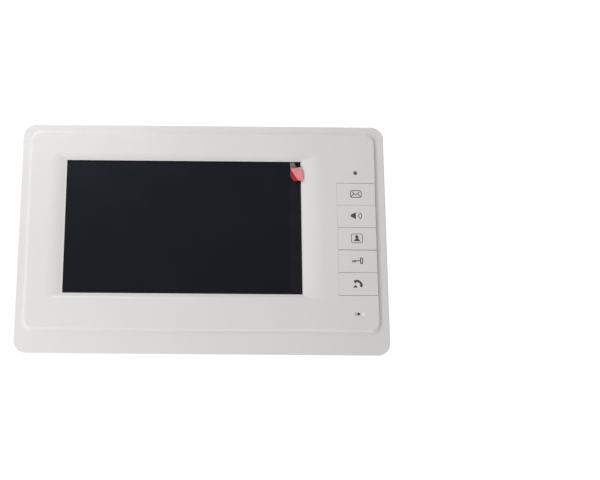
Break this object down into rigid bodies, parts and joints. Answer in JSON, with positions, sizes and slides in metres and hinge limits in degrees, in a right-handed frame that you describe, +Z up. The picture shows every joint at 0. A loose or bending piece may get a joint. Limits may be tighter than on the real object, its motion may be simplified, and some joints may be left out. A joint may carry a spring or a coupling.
{
  "type": "video intercom monitor",
  "caption": "White wall-mounted hands-free video intercom monitor: wide dark screen in a sloped frame, a column of flush symbol keys, side thumbwheels and a hook-on wall bracket.",
  "frame": {"origin": "centre of the wall bracket's back face, on the wall", "axes": "+X to the right as seen from the front, +Y into the wall, +Z up; the front faces -Y"},
  "size_m": [0.24, 0.023, 0.1504],
  "materials": {
    "cover_plastic": "fine satin texture",
    "key_plastic": "fine satin texture with printed symbols",
    "wheel_plastic": "satin, knurled",
    "black_plastic": "moulded",
    "cream_plastic": "moulded",
    "indicator_lens": "smoked, translucent",
    "screen_glass": "dark, glossy",
    "clear_film": "clear protective film over the dark screen",
    "red_film": "thin adhesive film",
    "diffuser": "white diffuser",
    "circuit_board": "green solder resist over glass laminate",
    "bracket_steel": "zinc plated",
    "frame_steel": "plain",
    "screw_steel": "zinc plated",
    "black_rubber": "moulded",
    "paper_cone": "pressed paper",
    "grey_cable": "ribbed ribbon",
    "amber_flex": "polyimide flex"
  },
  "bodies": {
    "bracket": {"wall_bracket": "bracket_steel"},
    "monitor": {"brightness_potentiometer": "black_plastic", "case_screw_1": "screw_steel", "case_screw_2": "screw_steel", "case_screw_3": "screw_steel", "case_screw_4": "screw_steel", "case_screw_5": "screw_steel", "case_screw_6": "screw_steel", "colour_potentiometer": "black_plastic", "door_socket_1": "cream_plastic", "door_socket_2": "cream_plastic", "film_pull_tab": "red_film", "front_cover": "cover_plastic", "indicator_led": "cream_plastic", "indicator_light_guide": "indicator_lens", "key_board": "circuit_board", "key_board_cable": "grey_cable", "key_board_screw_1": "screw_steel", "key_board_screw_2": "screw_steel", "lcd_backlight": "diffuser", "lcd_flex_cable": "amber_flex", "lcd_frame": "frame_steel", "lcd_panel": "screen_glass", "lcd_retainer_left": "frame_steel", "lcd_retainer_right": "frame_steel", "lcd_retainer_screw_left": "screw_steel", "lcd_retainer_screw_right": "screw_steel", "main_board": "circuit_board", "main_board_screw_1": "screw_steel", "main_board_screw_2": "screw_steel", "main_board_screw_3": "screw_steel", "main_board_screw_4": "screw_steel", "message_key_switch": "black_plastic", "microphone": "frame_steel", "microphone_boot": "black_rubber", "power_socket": "cream_plastic", "rear_cover": "cover_plastic", "screen_film": "clear_film", "speaker_cone": "paper_cone", "speaker_frame": "black_plastic", "speaker_magnet": "frame_steel", "talk_key_switch": "black_plastic", "unlock_key_switch": "black_plastic", "view_key_switch": "black_plastic", "volume_key_switch": "black_plastic", "volume_potentiometer": "black_plastic"},
    "message_key": {"message_key_cap": "key_plastic", "message_key_plunger": "black_plastic"},
    "volume_key": {"volume_key_cap": "key_plastic", "volume_key_plunger": "black_plastic"},
    "view_key": {"view_key_cap": "key_plastic", "view_key_plunger": "black_plastic"},
    "unlock_key": {"unlock_key_cap": "key_plastic", "unlock_key_plunger": "black_plastic"},
    "talk_key": {"talk_key_cap": "key_plastic", "talk_key_plunger": "black_plastic"},
    "brightness_wheel": {"brightness_wheel": "wheel_plastic"},
    "colour_wheel": {"colour_wheel": "wheel_plastic"},
    "volume_wheel": {"volume_wheel": "wheel_plastic"}
  },
  "joints": [
    {"name": "lift_off", "type": "slide", "parent": "bracket", "child": "monitor", "axis": [0, 0, 1], "range_m": [0, 0.0075]},
    {"name": "message_key_press", "type": "slide", "parent": "monitor", "child": "message_key", "axis": [0, 1, 0], "range_m": [0, 0.0005], "stiffness_N_per_m": 1500, "springref_m": -0.0004},
    {"name": "volume_key_press", "type": "slide", "parent": "monitor", "child": "volume_key", "axis": [0, 1, 0], "range_m": [0, 0.0005], "stiffness_N_per_m": 1500, "springref_m": -0.0004},
    {"name": "view_key_press", "type": "slide", "parent": "monitor", "child": "view_key", "axis": [0, 1, 0], "range_m": [0, 0.0005], "stiffness_N_per_m": 1500, "springref_m": -0.0004},
    {"name": "unlock_key_press", "type": "slide", "parent": "monitor", "child": "unlock_key", "axis": [0, 1, 0], "range_m": [0, 0.0005], "stiffness_N_per_m": 1500, "springref_m": -0.0004},
    {"name": "talk_key_press", "type": "slide", "parent": "monitor", "child": "talk_key", "axis": [0, 1, 0], "range_m": [0, 0.0005], "stiffness_N_per_m": 1500, "springref_m": -0.0004},
    {"name": "brightness_turn", "type": "hinge", "parent": "monitor", "child": "brightness_wheel", "pos_m": [0.107, 0, 0.032], "axis": [0, 1, 0], "range_deg": [-135, 135]},
    {"name": "colour_turn", "type": "hinge", "parent": "monitor", "child": "colour_wheel", "pos_m": [0.107, 0, 0.01], "axis": [0, 1, 0], "range_deg": [-135, 135]},
    {"name": "volume_turn", "type": "hinge", "parent": "monitor", "child": "volume_wheel", "pos_m": [0.107, 0, -0.012], "axis": [0, 1, 0], "range_deg": [-135, 135]}
  ]
}
